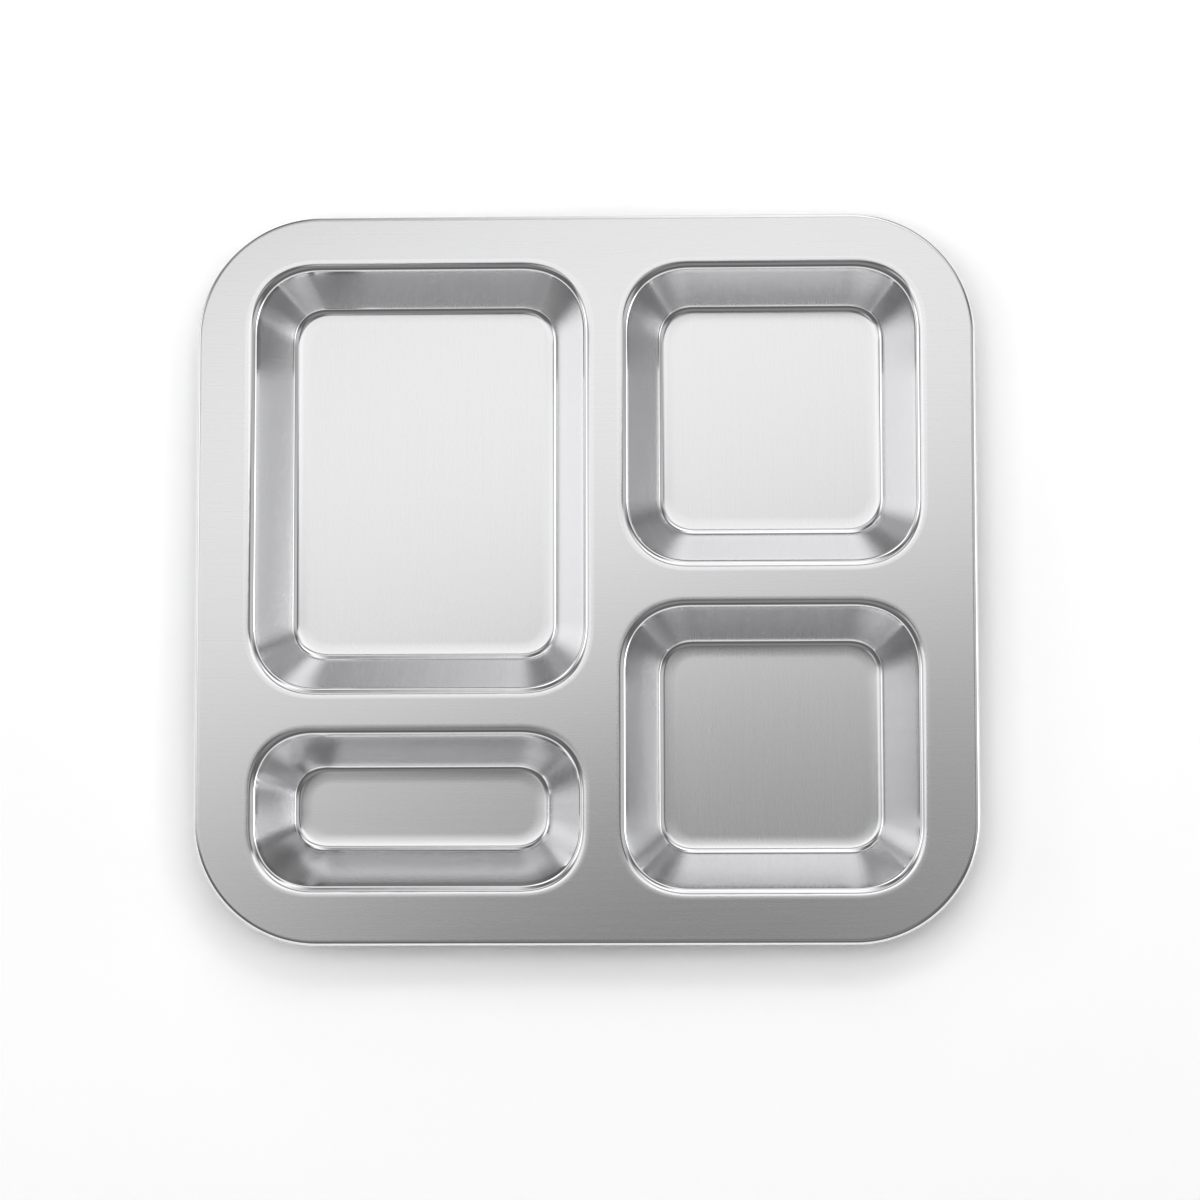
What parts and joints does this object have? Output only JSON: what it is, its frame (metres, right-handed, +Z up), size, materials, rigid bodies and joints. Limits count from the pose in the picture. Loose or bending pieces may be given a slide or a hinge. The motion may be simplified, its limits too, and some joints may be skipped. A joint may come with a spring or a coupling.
{
  "type": "divided compartment plate",
  "caption": "Shallow stainless steel plate with rounded rectangular food wells pressed into a flat brushed deck, and a rolled rim all round.",
  "frame": {"origin": "on the table, under the middle of the plate's outline", "axes": "+X to the right along the plate's longer side, +Y to the back, +Z up out of the wells"},
  "size_m": [0.23, 0.215, 0.0166],
  "materials": {
    "deck_steel": "fine straight brush along X",
    "well_steel": "brushed floors, smooth drawn walls and bends",
    "rim_steel": "rolled and polished"
  },
  "bodies": {
    "root": {"deck": "deck_steel", "rolled_rim": "rim_steel", "large_well": "well_steel", "rear_square_well": "well_steel", "front_square_well": "well_steel", "small_well": "well_steel"}
  },
  "joints": []
}
